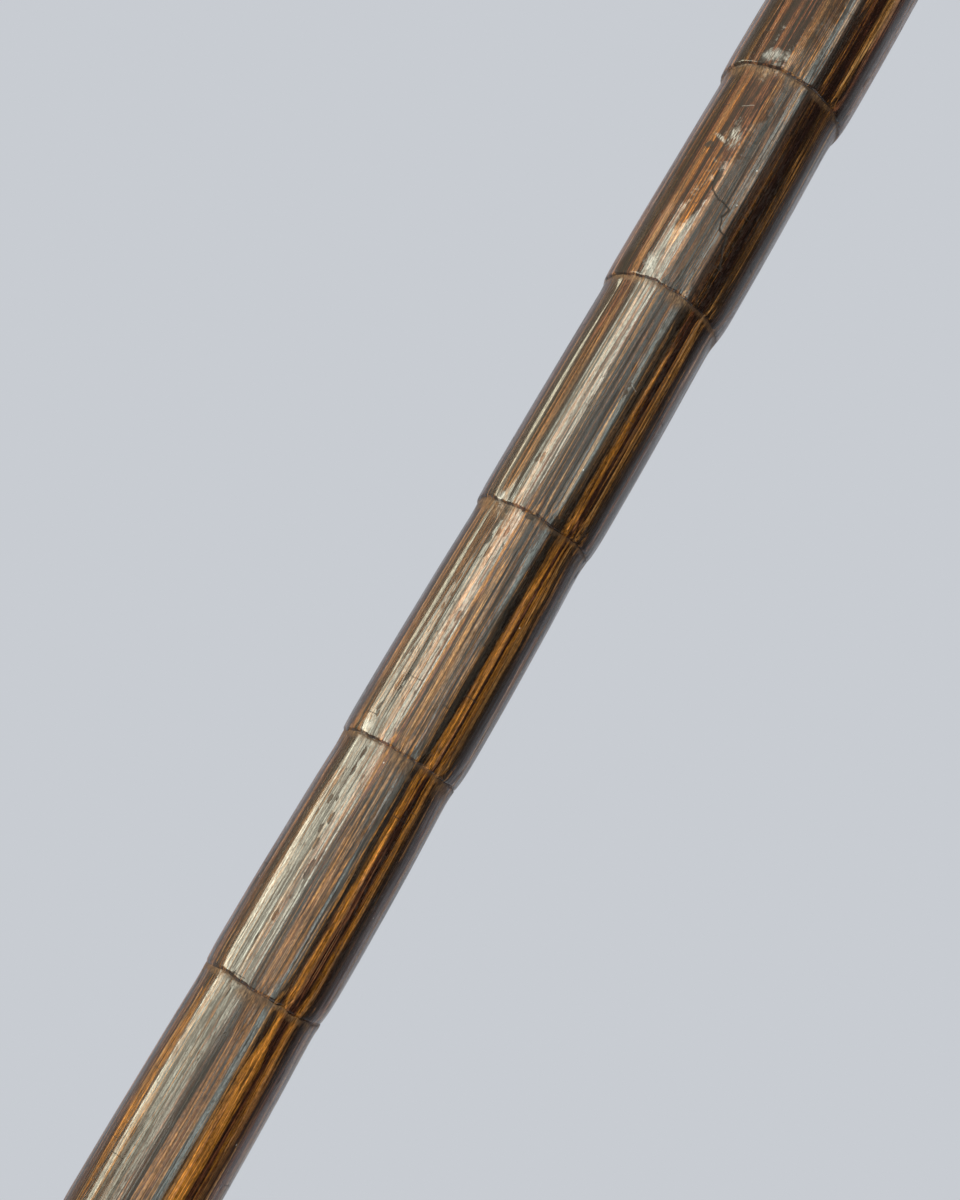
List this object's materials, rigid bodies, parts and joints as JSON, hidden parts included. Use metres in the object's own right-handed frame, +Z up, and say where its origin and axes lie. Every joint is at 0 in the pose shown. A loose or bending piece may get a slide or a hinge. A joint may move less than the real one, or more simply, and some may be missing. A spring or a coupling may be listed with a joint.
{
  "type": "walking cane",
  "caption": "Walking cane with a striped palm wood shaft carved into nested segments, an arched grip handle, a brass collar and ferrule, and a rubber tip.",
  "frame": {"origin": "centre of the flat underside of the rubber tip", "axes": "+Z up the shaft towards the handle, +X towards the handle's short nose, +Y across the handle"},
  "size_m": [0.1311, 0.035, 0.915],
  "materials": {
    "palm_wood": "worn gloss varnish over dark brown and orange stripes",
    "handle_wood": "hand-polished varnish over dark brown and orange stripes",
    "cast_brass": "aged cast brass, darker in its recesses",
    "pin_brass": "rubbed brass",
    "steel": "dull machined steel",
    "horn": "polished dark horn",
    "rubber": "matt moulded rubber, dusty in its grooves"
  },
  "bodies": {
    "root": {"shaft": "palm_wood", "handle": "handle_wood", "handle_stud": "steel", "handle_pin": "pin_brass", "shaft_bush": "pin_brass", "spacer_ring": "horn", "collar": "cast_brass", "collar_pin_left": "pin_brass", "collar_pin_right": "pin_brass", "ferrule": "cast_brass", "ferrule_pin_front": "pin_brass", "ferrule_pin_back": "pin_brass", "ferrule_screw": "steel", "tip_washer": "steel", "rubber_tip": "rubber"}
  },
  "joints": []
}
